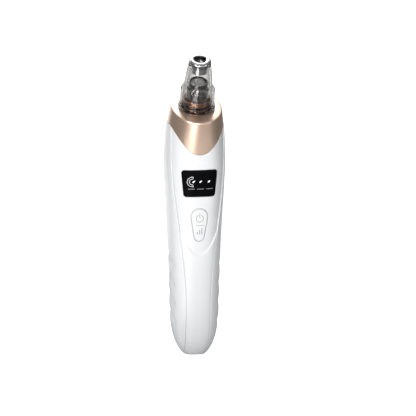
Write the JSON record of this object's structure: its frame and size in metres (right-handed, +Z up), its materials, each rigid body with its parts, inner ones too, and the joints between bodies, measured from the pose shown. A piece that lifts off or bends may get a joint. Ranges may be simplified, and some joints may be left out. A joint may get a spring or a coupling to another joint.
{
  "type": "blackhead vacuum extractor",
  "caption": "Handheld pore-cleaning suction tool: tapered white handle, metallic collar, clear pull-off head with a metal tip, small display and a rocker button.",
  "frame": {"origin": "centre of the flat base end of the handle", "axes": "+Z up the handle towards the suction head, -Y out of the front face with the display and button, +X to the right of someone facing the front"},
  "size_m": [0.0332, 0.0422, 0.17],
  "materials": {
    "white_plastic": "smooth satin-gloss white moulding",
    "rose_gold": "satin champagne-gold metallic coating",
    "smoked_clear": "clear smoked plastic, polished",
    "chrome_tip": "polished metal",
    "black_lens": "polished black window with white indicator marks",
    "brown_clear": "translucent dark brown plastic",
    "dark_rubber": "matte moulded rubber",
    "silicone": "milky silicone tube",
    "foam": "open-cell sponge",
    "steel": "plated steel",
    "ferrite": "dark sintered magnet",
    "copper": "copper and tinned brass",
    "nylon": "natural moulded nylon",
    "board": "green solder-masked circuit board",
    "chip": "black moulded epoxy",
    "led_white": "milky white light parts",
    "cell_wrap": "shrink-wrapped steel cell",
    "red_wire": "red insulated wire",
    "black_wire": "black insulated wire"
  },
  "bodies": {
    "handle": {"front_cover": "white_plastic", "rear_shell": "white_plastic", "collar": "rose_gold", "display_lens": "black_lens", "nozzle_seat": "brown_clear", "seat_seal": "dark_rubber", "filter_sponge": "foam", "seat_screw_left": "steel", "seat_screw_right": "steel", "air_hose": "silicone", "pump_cover": "nylon", "valve_plate": "nylon", "pump_diaphragm": "dark_rubber", "wobble_plate": "nylon", "pump_base": "nylon", "pump_pad": "dark_rubber", "pump_screw_1": "steel", "pump_screw_2": "steel", "pump_screw_3": "steel", "motor_can": "steel", "motor_end_cap": "nylon", "motor_magnet_left": "ferrite", "motor_magnet_right": "ferrite", "motor_terminal_left": "copper", "motor_terminal_right": "copper", "main_board": "board", "switch_power": "chip", "switch_mode": "chip", "light_guide": "led_white", "indicator_led_1": "led_white", "indicator_led_2": "led_white", "indicator_led_3": "led_white", "indicator_led_4": "led_white", "control_chip": "chip", "charge_chip": "chip", "lead_socket": "nylon", "board_screw_1": "steel", "board_screw_2": "steel", "board_screw_3": "steel", "board_screw_4": "steel", "battery_cell": "cell_wrap", "battery_pad": "foam", "usb_socket": "steel", "usb_board": "board", "motor_lead_red": "red_wire", "motor_lead_black": "black_wire", "battery_lead_red": "red_wire", "battery_lead_black": "black_wire", "charge_lead_red": "red_wire", "charge_lead_black": "black_wire"},
    "head": {"suction_head": "smoked_clear", "suction_tip": "chrome_tip"},
    "button": {"button_cap": "white_plastic"},
    "rotor": {"motor_shaft": "steel", "motor_armature": "copper", "eccentric_hub": "nylon"}
  },
  "joints": [
    {"name": "head_pull", "type": "slide", "parent": "handle", "child": "head", "axis": [0, -0.3746, 0.9272], "range_m": [0, 0.022]},
    {"name": "button_rock", "type": "hinge", "parent": "handle", "child": "button", "pos_m": [0, -0.01471, 0.07498], "axis": [1, 0, 0], "range_deg": [-2, 2], "stiffness_Nm_per_rad": 0.02},
    {"name": "rotor_spin", "type": "hinge", "parent": "handle", "child": "rotor", "pos_m": [0, 0.00222, 0.07558], "axis": [0, 0, 1], "continuous": true}
  ]
}
